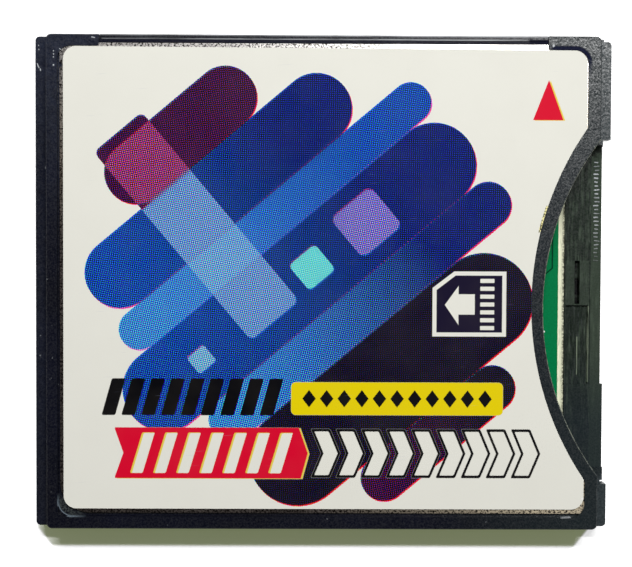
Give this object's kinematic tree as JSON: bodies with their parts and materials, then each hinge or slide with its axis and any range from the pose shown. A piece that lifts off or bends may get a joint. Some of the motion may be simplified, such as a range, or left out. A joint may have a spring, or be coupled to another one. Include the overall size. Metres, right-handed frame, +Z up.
{
  "type": "memory card adapter",
  "caption": "Flat memory card adapter: a socketed card frame with side rails and a slot with a finger notch for a smaller flat card.",
  "frame": {"origin": "middle of the underside, where the card lies on a flat surface", "axes": "+X across the card towards the small card slot, +Y towards the socket edge, +Z up out of the labelled face"},
  "size_m": [0.0428, 0.0364, 0.0033],
  "materials": {
    "frame_plastic": "fine moulded grain",
    "connector_plastic": "satin",
    "inner_plastic": "satin",
    "cover_steel": "fine grain",
    "label_print": "printed film, satin",
    "board_laminate": "solder mask",
    "insulating_film": "thin film",
    "gold_contact": "plated",
    "tinned_lead": "tinned",
    "chip_plastic": "moulded",
    "crystal_can": "plain",
    "capacitor_ceramic": "fired",
    "resistor_ceramic": "fired"
  },
  "bodies": {
    "root": {"upper_frame": "frame_plastic", "lower_frame": "frame_plastic", "top_cover_plate": "cover_steel", "bottom_cover_plate": "cover_steel", "label": "label_print", "insulating_film": "insulating_film", "circuit_board": "board_laminate", "connector_block": "connector_plastic", "upper_fork_contacts": "gold_contact", "lower_fork_contacts": "gold_contact", "contact_carrier": "inner_plastic", "small_card_contacts": "gold_contact", "card_detect_spring": "gold_contact", "card_detect_contact": "gold_contact", "write_protect_spring": "gold_contact", "write_protect_contact": "gold_contact", "controller_chip": "chip_plastic", "controller_terminals": "tinned_lead", "voltage_regulator": "chip_plastic", "regulator_leads": "tinned_lead", "crystal": "crystal_can", "capacitors": "capacitor_ceramic", "resistors": "resistor_ceramic"}
  },
  "joints": []
}
